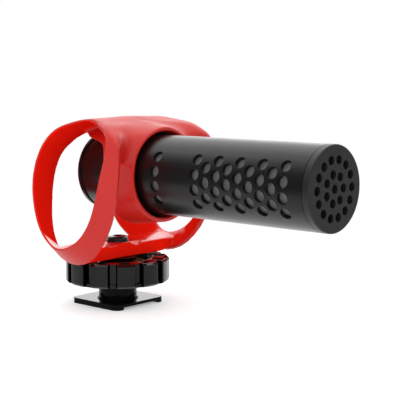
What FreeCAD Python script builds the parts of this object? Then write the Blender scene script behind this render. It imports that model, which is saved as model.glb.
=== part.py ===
import FreeCAD, Part
import math
import os

# On-camera microphone: a slim ported tube held in a one-piece loop suspension on a shoe foot.
# Millimetres. Origin at the centre of the foot's underside, +X to the microphone's front, +Z up.

V = FreeCAD.Vector
OVERRUN = 1.0                      # how far cutting bodies pass a face
FIT = 0.05                         # radial clearance of running fits

# Shoe foot and stem
FOOT_WIDTH = 18.4
FOOT_THICK = 1.5
FOOT_CORNER_R = 1.9
FOOT_RELIEF_DEPTH = 0.65
FOOT_RELIEF_LENGTH = 6.5           # from the front edge back
FOOT_RELIEF_MARGIN = 2.6           # left at each side of the relief
FLANGE_R = 5.7
FLANGE_THICK = 0.45
STEM_R = 5.3
STEM_KEY_WIDTH = 5.6               # square key on top, in the base bar's pocket
STEM_KEY_HEIGHT = 1.4

# Lock ring
RING_R = 14.4
RING_HEIGHT = 6.4
RING_LIFT = 4.8                    # ring's underside above the foot plate
RING_WALL_R = 12.8                 # round wall between the lobes
RING_LEDGE_R = 13.5
RING_LEDGE_HEIGHT = 1.0
RING_CHAMFER = 0.5
RING_CONE_RISE = 0.4               # underside rises towards the clamp washer
CLAMP_BOSS_R = 6.2                 # clamp washer's boss, between a shoe's rails
CLAMP_BOSS_HEIGHT = 0.8
CLAMP_FLANGE_R = 9.0               # clamp washer's flange, on the rails
CLAMP_FLANGE_THICK = 1.0
CLAMP_GAP = 0.05                   # end play of the clamp washer in the ring
RING_DISH_R = 9.6                  # shallow dish in the ring's top
RING_DISH_DEPTH = 0.9
RING_TO_BAR = 0.3
LOBE_COUNT = 12
LOBE_GAP = 2.3
LOBE_PHASE = -4.5                  # degrees from the front to the first lobe's middle
LOBE_ROUND = 0.5                   # lobes' upright edges
LOBE_POCKET_DEPTH = 0.35           # shallow pocket on top of each lobe
LOBE_POCKET_LAND = 0.55
BUSH_R = 7.2                       # threaded bush inside the ring
BUSH_HEIGHT = 4.4

# Base bar and its bolt
BAR_WIDTH = 7.0
BAR_THICK = 3.5                    # at its front edge
BAR_REAR_RISE = 1.2                # top slopes up to the rear edge
BOSS_R = 3.7                       # flat round the bolt
BOSS_HEIGHT = 0.7
BAR_NOTCH_WIDTH = 1.3
BAR_NOTCH_DEPTH = 0.5
BOLT_SHANK_R = 1.5
BOLT_LENGTH = 9.4
BOLT_HEAD_R = 2.9
BOLT_HEAD_HEIGHT = 1.0
BOLT_HEAD_BEVEL = 0.35
BOLT_HEX_WIDTH = 2.4               # across flats
BOLT_HEX_DEPTH = 0.7
WASHER_R = 3.2
WASHER_THICK = 0.4
INSERT_R = 2.6
INSERT_LENGTH = 5.0

# Microphone tube and caps
AXIS_RISE = 20.3                   # tube's axis above the base bar's top
TUBE_DIAMETER = 21.0
TUBE_WALL = 1.1
MIC_LENGTH = 77.3
MIC_REAR_X = -4.7
FRONT_CAP_THICK = 1.8
FRONT_CAP_EDGE = 0.2
FRONT_CAP_SPIGOT = 2.4
CAP_HOLE_DIAMETER = 2.3
CAP_OUTER_RING_R = 6.95
CAP_OUTER_HOLES = 14
CAP_INNER_RING_R = 3.45
CAP_INNER_HOLES = 7
CAP_OUTER_PHASE = 180.0 / 14       # degrees from the top
CAP_INNER_PHASE = 90.0
MESH_DISC_THICK = 0.3
REAR_CAP_THICK = 1.35
REAR_CAP_EDGE = 0.45
REAR_CAP_SPIGOT = 2.0
SEAL_WIDTH = 0.95
SEAL_INSET = 0.35                  # seal's surface below the tube's

# Side ports
PORT_DIAMETER = 3.0
PORT_PITCH = 6.82
PORT_STEP = 21.46                  # degrees round the tube between rows of one set
PORT_FRONT_INSET = 7.46            # first column's centre behind the front face
PORT_COLUMNS = 5
PORT_ROWS = 4
PORT_REAR_SHARE = 0.6246           # of the microphone's length, front face to the single rear column
PORT_MESH_THICK = 0.2
PORT_MESH_BACK = 3.4               # mesh runs on behind the rear ports

# Capsule and its holder
HOLDER_WALL = 2.2                  # between the liner and the capsule
CAPSULE_LENGTH = 6.0
CAPSULE_INSET_SHARE = 0.5          # of the microphone's length, front face to the capsule
CAPSULE_RIM = 2.4                  # round the grille
CAPSULE_GRILLE_DEPTH = 0.4
HOLDER_LENGTH = 4.4
HOLDER_BACK = 0.8                  # holder's front face behind the capsule's front
GASKET_LENGTH = 0.6
GASKET_WIDTH = 1.4
WIRE_R = 0.4
WIRE_SPACING = 1.6
WIRE_OVERLAP = 2.2                 # wire's length on the board

# Board, carrier and socket
BOARD_SIDE_GAP = 2.1               # between the board's edge and the tube's bore at its widest
BOARD_THICK = 1.0
BOARD_LENGTH = 20.4
BOARD_REAR_GAP = 0.2               # ahead of the rear cap's spigot
CARRIER_WALL = 1.2
CARRIER_GAP = 0.9                  # behind the liner
CARRIER_LEDGE = 1.6
CHIP_SIZE = 4.2
CHIP_HEIGHT = 1.2
CHIP_GAP = 1.2                     # ahead of the socket
CAN_R = 1.7
CAN_HEIGHT = 3.4
SMALL_PART = 1.3
SMALL_COUNT = 3
SOCKET_WIDTH = 8.0
SOCKET_HEIGHT = 7.0
SOCKET_LENGTH = 13.2
SOCKET_NOSE_R = 2.95
SOCKET_BORE_R = 1.8
SOCKET_BORE_DEPTH = 14.0
SOCKET_SHOULDER = 0.3              # block's rear face ahead of the rear cap
CONTACT_WIDTH = 1.2
CONTACT_THICK = 0.4
CONTACT_WALL = 0.4                 # socket wall left between a contact and the bore

# Suspension: sleeve, loops, roof
SLEEVE_GAP = 1.0                   # between tube and sleeve
SLEEVE_WALL = 1.1                  # at the front rim
SLEEVE_FLARE = 1.4                 # added to the outside towards the rear
SLEEVE_FRONT_X = 18.7
SLEEVE_LENGTH = 10.5
SLEEVE_ROUND = 0.6                 # bevel at the rear edge
SADDLE_LENGTH = 12.7               # top of the sleeve runs on to the rear under the roof
SADDLE_DROP = 1.6                  # saddle's rear end below the sleeve's widest radius
GRIP_LENGTH = 2.2
GRIP_FRONT_INSET = 3.6
GRIP_REAR_INSET = 0.7
GRIP_RIB_COUNT = 12
GRIP_RIB_WIDTH = 1.6
GRIP_BAND = 0.5
LOOP_THICK = 1.4                   # at the loop's inner rim
LOOP_EDGE_THICK = 0.6              # at its outer rim
LOOP_SPREAD = 7.5                  # loop's outer rim beyond the sleeve's widest radius
LOOP_LEAD = 1.5                    # loop's front beyond the sleeve's front
ROOF_RISE = 1.2                    # roof's crown above the sleeve's widest radius
HOOD_THICK = 1.4

# One row per station round a loop, from the bottom forwards, up, back and down. The outer rim's
# point comes first, then the inner rim's: X as a share of the loop's reach, Y as a share of its
# half width or of the sleeve's bore, Z as a share of its height. A negative Y share passes the
# middle plane, where the two loops are cut and joined.
LOOP_STATION_SHARES = (
    ((0.050, 1.000, 0.113), (0.074, 1.478, -0.010)),
    ((0.386, 1.000, 0.197), (0.485, 1.557, 0.064)),
    ((0.639, 1.000, 0.385), (0.851, 1.635, 0.308)),
    ((0.787, 1.000, 0.623), (1.000, 1.652, 0.615)),
    ((0.812, 0.926, 0.826), (0.941, 1.583, 0.841)),
    ((0.738, 0.865, 0.895), (0.861, 1.530, 0.887)),
    ((0.653, 0.805, 0.941), (0.738, 1.104, 0.938)),
    ((0.426, 0.679, 0.974), (0.520, 0.348, 0.967)),
    ((0.183, 0.642, 0.987), (0.228, -0.087, 1.000)),
    ((-0.059, 0.749, 0.959), (-0.198, -0.087, 0.949)),
    ((-0.287, 0.874, 0.887), (-0.376, 0.635, 0.877)),
    ((-0.381, 0.963, 0.787), (-0.540, 0.835, 0.790)),
    ((-0.460, 1.000, 0.667), (-0.629, 1.017, 0.667)),
    ((-0.510, 1.000, 0.449), (-0.748, 1.035, 0.397)),
    ((-0.411, 1.000, 0.262), (-0.683, 1.113, 0.187)),
    ((-0.198, 1.000, 0.136), (-0.322, 1.339, 0.021)),
)
# Hood that closes the corner between the sleeve's top and the loops' fronts. One section per plane
# across Y: the plane's Y as a share of the loop's half width, then the outer line's points from the
# roof forwards and down, each X as a share of the reach and Z as a share of the height.
HOOD_SECTION_SHARES = (
    (0.000, ((0.173, 0.990), (0.347, 0.982), (0.525, 0.967), (0.703, 0.947),
             (0.802, 0.931), (0.851, 0.918), (0.871, 0.903), (0.876, 0.882))),
    (0.256, ((0.173, 0.986), (0.347, 0.977), (0.525, 0.960), (0.703, 0.936),
             (0.807, 0.917), (0.861, 0.900), (0.881, 0.879), (0.881, 0.856))),
    (0.465, ((0.178, 0.982), (0.371, 0.973), (0.554, 0.956), (0.703, 0.931),
             (0.787, 0.895), (0.837, 0.856), (0.861, 0.823), (0.871, 0.790))),
    (0.651, ((0.347, 0.967), (0.470, 0.962), (0.604, 0.949), (0.733, 0.928),
             (0.812, 0.897), (0.856, 0.844), (0.861, 0.774), (0.842, 0.703))),
    (0.833, ((0.713, 0.906), (0.743, 0.901), (0.782, 0.894), (0.822, 0.881),
             (0.866, 0.862), (0.896, 0.836), (0.916, 0.808), (0.926, 0.779))),
)
# Saddle's lower edge seen from the side, from its rear end to the sleeve: X and Z shares as above.
SADDLE_EDGE_SHARES = ((-0.223, 0.882), (0.124, 0.836), (0.322, 0.800), (0.376, 0.764), (0.406, 0.718))
BAR_END_LOW_SHARE = 0.700          # of the loop's half width, at the bar's underside
BAR_END_HIGH_SHARE = 0.925         # at the bar's top

# Levels and radii that follow
RING_BOTTOM_Z = FOOT_THICK + RING_LIFT
RING_TOP_Z = RING_BOTTOM_Z + RING_HEIGHT
BAR_BOTTOM_Z = RING_TOP_Z + RING_TO_BAR
BAR_TOP_Z = BAR_BOTTOM_Z + BAR_THICK
BOSS_TOP_Z = BAR_TOP_Z + BOSS_HEIGHT
AXIS_Z = BAR_TOP_Z + AXIS_RISE
TUBE_R = TUBE_DIAMETER / 2
TUBE_BORE_R = TUBE_R - TUBE_WALL
MIC_FRONT_X = MIC_REAR_X + MIC_LENGTH
TUBE_FRONT_X = MIC_FRONT_X - FRONT_CAP_THICK
SEAL_REAR_X = MIC_REAR_X + REAR_CAP_THICK
TUBE_REAR_X = SEAL_REAR_X + SEAL_WIDTH
BORE_R = TUBE_R + SLEEVE_GAP
RIM_R = BORE_R + SLEEVE_WALL
SLEEVE_R = RIM_R + SLEEVE_FLARE
SLEEVE_REAR_X = SLEEVE_FRONT_X - SLEEVE_LENGTH
LOOP_HALF_WIDTH = SLEEVE_R + LOOP_SPREAD
LOOP_REACH = SLEEVE_FRONT_X + LOOP_LEAD
LOOP_HEIGHT = AXIS_Z + SLEEVE_R + ROOF_RISE - BAR_BOTTOM_Z
LINER_R = TUBE_BORE_R - PORT_MESH_THICK
PORT_REAR_X = MIC_FRONT_X - MIC_LENGTH * PORT_REAR_SHARE
LINER_REAR_X = PORT_REAR_X - PORT_MESH_BACK
CAPSULE_R = LINER_R - HOLDER_WALL
CAPSULE_FRONT_X = MIC_FRONT_X - MIC_LENGTH * CAPSULE_INSET_SHARE
CAPSULE_REAR_X = CAPSULE_FRONT_X - CAPSULE_LENGTH
BOARD_WIDTH = 2 * (TUBE_BORE_R - BOARD_SIDE_GAP)
BOARD_TOP_Z = AXIS_Z - SOCKET_HEIGHT / 2
BOARD_REAR_X = TUBE_REAR_X + REAR_CAP_SPIGOT + BOARD_REAR_GAP
BOARD_FRONT_X = BOARD_REAR_X + BOARD_LENGTH
SOCKET_FRONT_X = SEAL_REAR_X + SOCKET_LENGTH
MESH_DISC_X = TUBE_FRONT_X - FRONT_CAP_SPIGOT - MESH_DISC_THICK


def box(x_range, y_range, z_range):
    """Block between three pairs of planes."""
    size = [high - low for low, high in (x_range, y_range, z_range)]
    return Part.makeBox(*size, V(x_range[0], y_range[0], z_range[0]))


def post(radius, low, high, x=0, y=0):
    """Upright cylinder between two heights."""
    return Part.makeCylinder(radius, high - low, V(x, y, low))


def rod(radius, rear, front, y=0, z=None):
    """Cylinder along X between two stations, on the microphone's axis unless placed."""
    return Part.makeCylinder(radius, front - rear, V(rear, y, AXIS_Z if z is None else z), V(1, 0, 0))


def pipe(outer, inner, rear, front):
    """Round tube along X on the microphone's axis."""
    return rod(outer, rear, front).cut(rod(inner, rear - OVERRUN, front + OVERRUN))


def spin(profile, start, direction):
    """Solid of revolution from a closed list of (along, radius) points."""
    wire = Part.makePolygon([V(along, 0, radius) for along, radius in profile + profile[:1]])
    solid = Part.Face(wire).revolve(V(0, 0, 0), V(1, 0, 0), 360)
    solid.Placement = FreeCAD.Placement(start, FreeCAD.Rotation(V(1, 0, 0), direction))
    return solid


def spin_x(profile):
    """Revolved about the microphone's axis, stations in row X."""
    return spin(profile, V(0, 0, AXIS_Z), V(1, 0, 0))


def spin_z(profile):
    """Revolved about the upright axis, stations in row Z."""
    return spin(profile, V(0, 0, 0), V(0, 0, 1))


def turned(shape, angle, centre, axis):
    """Copy turned about an axis."""
    copy = shape.copy()
    copy.rotate(centre, axis, angle)
    return copy


def joined(shapes):
    """Shapes fused to one, with leftover edges between like faces removed."""
    return shapes[0].fuse(shapes[1:]).removeSplitter() if len(shapes) > 1 else shapes[0]


def save(name, shape):
    """One STEP file for a node."""
    solids = shape.Solids
    shape = solids[0] if len(solids) == 1 else Part.makeCompound(solids)
    shape.exportStep("parts/" + name + ".step")
    print(name, "solids", len(solids), "valid", shape.isValid(), "volume", round(shape.Volume, 2))


# Foot, ring and bolt

def shoe_foot():
    """Shoe plate with its round stem and a square key for the base bar."""
    half = FOOT_WIDTH / 2
    plate = box((-half, half), (-half, half), (0, FOOT_THICK))
    uprights = [e for e in plate.Edges if abs(e.tangentAt(0).z) > math.cos(math.pi / 4)]
    plate = plate.makeFillet(FOOT_CORNER_R, uprights)
    relief_half = half - FOOT_RELIEF_MARGIN
    relief = box((half - FOOT_RELIEF_LENGTH, half + OVERRUN), (-relief_half, relief_half),
                 (-OVERRUN, FOOT_RELIEF_DEPTH))
    key_half = STEM_KEY_WIDTH / 2
    key = box((-key_half, key_half), (-key_half, key_half), (FOOT_THICK, BAR_BOTTOM_Z + STEM_KEY_HEIGHT))
    foot = joined([plate.cut(relief), post(FLANGE_R, FOOT_THICK / 2, FOOT_THICK + FLANGE_THICK),
                   post(STEM_R, FOOT_THICK / 2, BAR_BOTTOM_Z), key])
    hole_low = BAR_BOTTOM_Z - INSERT_LENGTH - STEM_KEY_HEIGHT
    foot = foot.cut(post(INSERT_R, hole_low, BAR_BOTTOM_Z))
    return foot.cut(post(BOLT_SHANK_R + FIT, hole_low, BAR_BOTTOM_Z + STEM_KEY_HEIGHT + OVERRUN))


def stem_insert():
    """Threaded insert pressed into the stem, which takes the bolt."""
    low = BAR_BOTTOM_Z - INSERT_LENGTH - STEM_KEY_HEIGHT
    body = post(INSERT_R, low, low + INSERT_LENGTH)
    return body.cut(post(BOLT_SHANK_R, low - OVERRUN, BAR_BOTTOM_Z + OVERRUN))


def mount_bolt():
    """Low-head bolt with a hex socket."""
    seat = BOSS_TOP_Z + WASHER_THICK
    top = seat + BOLT_HEAD_HEIGHT
    bolt = spin_z([(seat - BOLT_LENGTH, 0), (seat - BOLT_LENGTH, BOLT_SHANK_R), (seat, BOLT_SHANK_R),
                   (seat, BOLT_HEAD_R), (top - BOLT_HEAD_BEVEL, BOLT_HEAD_R),
                   (top, BOLT_HEAD_R - BOLT_HEAD_BEVEL), (top, 0)])
    corner = BOLT_HEX_WIDTH / math.sqrt(3)
    hexagon = [V(corner * math.cos(math.radians(60 * k)), corner * math.sin(math.radians(60 * k)),
                 top - BOLT_HEX_DEPTH) for k in range(7)]
    socket = Part.Face(Part.makePolygon(hexagon)).extrude(V(0, 0, BOLT_HEX_DEPTH + OVERRUN))
    return bolt.cut(socket)


def bolt_washer():
    """Flat washer under the bolt's head."""
    disc = post(WASHER_R, BOSS_TOP_Z, BOSS_TOP_Z + WASHER_THICK)
    return disc.cut(post(BOLT_SHANK_R + FIT, BOSS_TOP_Z - OVERRUN, BOSS_TOP_Z + WASHER_THICK + OVERRUN))


def lobe_cutter(low, high):
    """Radial slot between two lobes, parallel sided, that rounds the lobes' upright edges."""
    half, corner_x = LOBE_GAP / 2, RING_R - LOBE_ROUND
    slant = LOBE_ROUND * math.sin(math.pi / 4)
    inner, mouth, outside = [], [], []
    for side in (-1, 1):
        inner.append(V(RING_WALL_R, side * half, low))
        mouth.append(V(corner_x, side * half, low))
        outside.append(V(RING_R, side * (half + LOBE_ROUND), low))
    middle = [V(corner_x + slant, side * (half + LOBE_ROUND - slant), low) for side in (-1, 1)]
    far = [V(RING_R + OVERRUN, side * (half + LOBE_ROUND), low) for side in (-1, 1)]
    edges = [Part.makeLine(inner[1], inner[0]), Part.makeLine(inner[0], mouth[0]),
             Part.Arc(mouth[0], middle[0], outside[0]).toShape(), Part.makeLine(outside[0], far[0]),
             Part.makeLine(far[0], far[1]), Part.makeLine(far[1], outside[1]),
             Part.Arc(outside[1], middle[1], mouth[1]).toShape(), Part.makeLine(mouth[1], inner[1])]
    return Part.Face(Part.Wire(edges)).extrude(V(0, 0, high - low))


def lock_ring():
    """Lobed finger ring that clamps the camera's shoe."""
    seat = RING_BOTTOM_Z + CLAMP_FLANGE_THICK + CLAMP_GAP
    bush_bottom = RING_TOP_Z - RING_DISH_DEPTH - BUSH_HEIGHT
    ring = spin_z([
        (seat, STEM_R + 2 * FIT),
        (seat, CLAMP_FLANGE_R + FIT),
        (RING_BOTTOM_Z + RING_CONE_RISE, CLAMP_FLANGE_R + FIT),
        (RING_BOTTOM_Z, RING_R - RING_CHAMFER - RING_CONE_RISE),
        (RING_BOTTOM_Z, RING_R - RING_CHAMFER),
        (RING_BOTTOM_Z + RING_CHAMFER, RING_R),
        (RING_TOP_Z - RING_CHAMFER, RING_R),
        (RING_TOP_Z, RING_R - RING_CHAMFER),
        (RING_TOP_Z, RING_DISH_R),
        (RING_TOP_Z - RING_DISH_DEPTH, RING_DISH_R),
        (RING_TOP_Z - RING_DISH_DEPTH, BUSH_R),
        (bush_bottom, BUSH_R),
        (bush_bottom, STEM_R + 2 * FIT),
    ])
    ledge_top = RING_BOTTOM_Z + RING_LEDGE_HEIGHT
    ledge = post(RING_LEDGE_R, RING_BOTTOM_Z - OVERRUN, ledge_top)
    slot = lobe_cutter(RING_BOTTOM_Z - OVERRUN, RING_TOP_Z + OVERRUN).cut(ledge)
    pocket_half = math.pi / LOBE_COUNT - math.asin((LOBE_GAP / 2 + LOBE_POCKET_LAND) / RING_WALL_R)
    pocket_rim = RING_R - RING_CHAMFER - LOBE_POCKET_LAND
    pocket_inner = RING_DISH_R + LOBE_POCKET_LAND
    pocket_floor = RING_TOP_Z - LOBE_POCKET_DEPTH
    sector = Part.makeCylinder(pocket_rim, LOBE_POCKET_DEPTH + OVERRUN, V(0, 0, pocket_floor), V(0, 0, 1),
                               math.degrees(2 * pocket_half))
    sector = turned(sector, -math.degrees(pocket_half), V(0, 0, 0), V(0, 0, 1))
    pocket = sector.cut(post(pocket_inner, pocket_floor - OVERRUN, RING_TOP_Z + 2 * OVERRUN))
    step = 360 / LOBE_COUNT
    cuts = []
    for k in range(LOBE_COUNT):
        cuts.append(turned(slot, LOBE_PHASE + (k + 1 / 2) * step, V(0, 0, 0), V(0, 0, 1)))
        cuts.append(turned(pocket, LOBE_PHASE + k * step, V(0, 0, 0), V(0, 0, 1)))
    return ring.cut(cuts)


def lock_ring_bush():
    """Threaded bush in the ring; the thread is plain, at its mean fit on the stem."""
    top = RING_TOP_Z - RING_DISH_DEPTH
    bush = post(BUSH_R, top - BUSH_HEIGHT, top)
    return bush.cut(post(STEM_R + FIT, top - BUSH_HEIGHT - OVERRUN, top + OVERRUN))


def clamp_washer():
    """Washer under the ring: a flange that presses on the shoe's rails and a centring boss."""
    low = RING_BOTTOM_Z - CLAMP_BOSS_HEIGHT
    top = RING_BOTTOM_Z + CLAMP_FLANGE_THICK
    return spin_z([(low, STEM_R + FIT), (low, CLAMP_BOSS_R), (RING_BOTTOM_Z, CLAMP_BOSS_R),
                   (RING_BOTTOM_Z, CLAMP_FLANGE_R), (top, CLAMP_FLANGE_R), (top, STEM_R + FIT)])


# Suspension

def loop_points():
    """Outer face's rim points of the loop at the left, seen from the microphone's rear."""
    outer, inner = [], []
    for rim, edge in LOOP_STATION_SHARES:
        outer.append(V(LOOP_REACH * rim[0], LOOP_HALF_WIDTH * rim[1], BAR_BOTTOM_Z + LOOP_HEIGHT * rim[2]))
        inner.append(V(LOOP_REACH * edge[0], BORE_R * edge[1], BAR_BOTTOM_Z + LOOP_HEIGHT * edge[2]))
    return outer, inner


def inward_normals(outer, inner):
    """Unit vectors square to the band at each station, pointing to the loop's inside."""
    count = len(outer)
    middle = [(a + b) / 2 for a, b in zip(outer, inner)]
    centre = V(0, 0, BAR_BOTTOM_Z + LOOP_HEIGHT / 2)
    normals = []
    for k in range(count):
        along = middle[(k + 1) % count] - middle[k - 1]
        normal = along.cross(inner[k] - outer[k])
        normal.normalize()
        normals.append(normal if normal.dot(centre - middle[k]) > 0 else normal * -1)
    return normals


def distances(outer, inner):
    """Way along the band's middle line to each station and back to the first."""
    middle = [(a + b) / 2 for a, b in zip(outer, inner)]
    ways = [0.0]
    for here, ahead in zip(middle, middle[1:] + middle[:1]):
        ways.append(ways[-1] + (ahead - here).Length)
    return ways


def closed_curve(points, ways):
    """Smooth closed edge through the stations."""
    curve = Part.BSplineCurve()
    curve.interpolate(Points=points, PeriodicFlag=True, Parameters=ways)
    return curve.toShape()


def loop_band():
    """One closed side loop: a thin band between an outer and an inner rim."""
    outer, inner = loop_points()
    normals = inward_normals(outer, inner)
    rims = [outer, inner, [p + n * LOOP_THICK for p, n in zip(inner, normals)],
            [p + n * LOOP_EDGE_THICK for p, n in zip(outer, normals)]]
    ways = distances(outer, inner)
    edges = [closed_curve(points, ways) for points in rims]
    faces = [Part.makeRuledSurface(edges[k], edges[(k + 1) % 4]) for k in range(4)]
    shell = Part.Shell(faces)
    shell.sewShape()
    band = Part.Solid(shell)
    if band.Volume < 0:
        band.reverse()
    reach = 2 * LOOP_REACH
    side = box((-reach, reach), (0, 2 * LOOP_HALF_WIDTH), (0, 2 * LOOP_HEIGHT))
    return band.common(side)


def side_point(share, y):
    """Point in a plane across Y from its shares of the loop's reach and height."""
    return V(LOOP_REACH * share[0], y, BAR_BOTTOM_Z + LOOP_HEIGHT * share[1])


def open_curve(points):
    """Smooth open edge through points."""
    curve = Part.BSplineCurve()
    curve.interpolate(Points=points)
    return curve.toShape()


def hood_section(shares, y):
    """Closed section of the hood's wall in a plane across Y."""
    outer = [side_point(share, y) for share in shares]
    inner = []
    for k, point in enumerate(outer):
        along = outer[min(k + 1, len(outer) - 1)] - outer[max(k - 1, 0)]
        square = V(along.z, 0, -along.x)
        square.normalize()
        inner.append(point + square * HOOD_THICK)
    crest = len(outer) // 2
    inner = inner[:crest - 1] + inner[crest + 1:]
    return Part.Wire([open_curve(outer), Part.makeLine(outer[-1], inner[-1]), open_curve(inner[::-1]),
                      Part.makeLine(inner[0], outer[0])])


def hood():
    """Thin wall from the roof over the sleeve's top down to both loops' front rims."""
    sections = [hood_section(shares, -LOOP_HALF_WIDTH * y) for y, shares in HOOD_SECTION_SHARES[:0:-1]]
    sections += [hood_section(shares, LOOP_HALF_WIDTH * y) for y, shares in HOOD_SECTION_SHARES]
    return Part.makeLoft(sections, True, False)


def sleeve():
    """Flared sleeve round the tube."""
    bevel = SLEEVE_ROUND * SLEEVE_FLARE / SLEEVE_LENGTH
    return spin_x([(SLEEVE_FRONT_X, BORE_R), (SLEEVE_FRONT_X, RIM_R),
                   (SLEEVE_REAR_X + SLEEVE_ROUND, SLEEVE_R - bevel), (SLEEVE_REAR_X, SLEEVE_R - SLEEVE_ROUND),
                   (SLEEVE_REAR_X, BORE_R)])


def saddle():
    """Top of the sleeve that runs back under the roof, cut to its curved lower edge."""
    rear = SLEEVE_REAR_X - SADDLE_LENGTH
    shell = spin_x([(rear, BORE_R), (rear, SLEEVE_R - SADDLE_DROP), (SLEEVE_REAR_X, SLEEVE_R),
                    (SLEEVE_REAR_X + SLEEVE_ROUND, SLEEVE_R - SLEEVE_ROUND),
                    (SLEEVE_REAR_X + SLEEVE_ROUND, BORE_R)])
    edge = [side_point(share, -SLEEVE_R - OVERRUN) for share in SADDLE_EDGE_SHARES]
    front, back, top = edge[-1] + V(OVERRUN, 0, 0), edge[0] - V(OVERRUN, 0, 0), V(0, 0, SLEEVE_R)
    outline = Part.Wire([open_curve(edge), Part.makeLine(edge[-1], front), Part.makeLine(front, front + top),
                         Part.makeLine(front + top, back + top), Part.makeLine(back + top, back),
                         Part.makeLine(back, edge[0])])
    return shell.common(Part.Face(outline).extrude(V(0, 2 * (SLEEVE_R + OVERRUN), 0)))


def bar_slab(top):
    """Block as wide as the bar and longer, up to a height."""
    edge = BAR_WIDTH / 2
    return box((-edge, edge), (-LOOP_HALF_WIDTH, LOOP_HALF_WIDTH), (BAR_BOTTOM_Z, top))


def base_bar():
    """Cross bar under the loops: sloping top, flat boss, key pocket, bolt hole and notch."""
    low, high = LOOP_HALF_WIDTH * BAR_END_LOW_SHARE, LOOP_HALF_WIDTH * BAR_END_HIGH_SHARE
    edge, rear_z = BAR_WIDTH / 2, BAR_TOP_Z + BAR_REAR_RISE
    side = [V(-edge, -high, BAR_BOTTOM_Z), V(edge, -high, BAR_BOTTOM_Z), V(edge, -high, BAR_TOP_Z),
            V(-edge, -high, rear_z)]
    bar = Part.Face(Part.makePolygon(side + side[:1])).extrude(V(0, 2 * high, 0))
    ends = [V(-edge, -low, BAR_BOTTOM_Z), V(-edge, low, BAR_BOTTOM_Z), V(-edge, high, BAR_TOP_Z),
            V(-edge, high, rear_z), V(-edge, -high, rear_z), V(-edge, -high, BAR_TOP_Z)]
    bar = bar.common(Part.Face(Part.makePolygon(ends + ends[:1])).extrude(V(BAR_WIDTH, 0, 0)))
    seat = post(BOSS_R, BAR_BOTTOM_Z, BOSS_TOP_Z).common(bar_slab(rear_z))
    bar = bar.cut(post(BOSS_R, BOSS_TOP_Z, rear_z + OVERRUN)).fuse(seat)
    key_half = STEM_KEY_WIDTH / 2 + FIT
    pocket = box((-key_half, key_half), (-key_half, key_half),
                 (BAR_BOTTOM_Z - OVERRUN, BAR_BOTTOM_Z + STEM_KEY_HEIGHT + FIT))
    hole = post(BOLT_SHANK_R + 2 * FIT, BAR_BOTTOM_Z - OVERRUN, rear_z + OVERRUN)
    notch = box((edge - BAR_NOTCH_WIDTH, edge + OVERRUN), (WASHER_R, WASHER_R + 2 * BAR_NOTCH_WIDTH),
                (BAR_TOP_Z - BAR_NOTCH_DEPTH, rear_z + OVERRUN))
    return bar.cut([pocket, hole, notch])


def suspension_mount():
    """The one-piece moulding: two side loops that meet in a roof, hood, sleeve with saddle, and base bar."""
    left = loop_band()
    right = left.mirror(V(0, 0, 0), V(0, 1, 0))
    bore = rod(BORE_R, SLEEVE_REAR_X - 2 * LOOP_REACH, SLEEVE_FRONT_X + OVERRUN)
    return left.fuse([right, hood(), sleeve(), saddle(), base_bar()]).cut(bore)


def sleeve_grip(rear):
    """Soft ring inside the sleeve whose ribs hold the tube."""
    front = rear + GRIP_LENGTH
    band = pipe(BORE_R, BORE_R - GRIP_BAND, rear, front)
    rib = box((rear, front), (-GRIP_RIB_WIDTH / 2, GRIP_RIB_WIDTH / 2),
              (AXIS_Z + TUBE_R, AXIS_Z + BORE_R - GRIP_BAND / 2))
    ribs = [turned(rib, 360 / GRIP_RIB_COUNT * k, V(0, 0, AXIS_Z), V(1, 0, 0)) for k in range(GRIP_RIB_COUNT)]
    return joined([band] + ribs).cut(rod(TUBE_R + FIT, rear - OVERRUN, front + OVERRUN))


# Microphone

def port_cutters():
    """Radial pins of both sides' port patterns."""
    first = MIC_FRONT_X - PORT_FRONT_INSET
    places = []
    for column in range(PORT_COLUMNS):
        for row in range(PORT_ROWS):
            places.append((first - column * PORT_PITCH, (row - (PORT_ROWS - 1) / 2) * PORT_STEP))
    for column in range(PORT_COLUMNS - 1):
        for row in range(PORT_ROWS - 1):
            places.append((first - (column + 1 / 2) * PORT_PITCH, (row - (PORT_ROWS - 2) / 2) * PORT_STEP))
    for row in range(PORT_ROWS):
        places.append((PORT_REAR_X, (row - (PORT_ROWS - 1) / 2) * PORT_STEP))
    pins = []
    for x, angle in places:
        for side in (90, 270):
            pin = Part.makeCylinder(PORT_DIAMETER / 2, 2 * TUBE_WALL + OVERRUN,
                                    V(x, 0, AXIS_Z + TUBE_BORE_R - TUBE_WALL), V(0, 0, 1))
            pins.append(turned(pin, side + angle, V(x, 0, AXIS_Z), V(1, 0, 0)))
    return pins


def mic_tube():
    """Ported metal tube."""
    return pipe(TUBE_R, TUBE_BORE_R, TUBE_REAR_X, TUBE_FRONT_X).cut(port_cutters())


def cap_hole(radius, angle):
    """Pin through the front cap at a radius and an angle from the top towards +Y."""
    turn = math.radians(angle)
    return rod(CAP_HOLE_DIAMETER / 2, TUBE_FRONT_X - OVERRUN, MIC_FRONT_X + OVERRUN,
               radius * math.sin(turn), AXIS_Z + radius * math.cos(turn))


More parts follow.
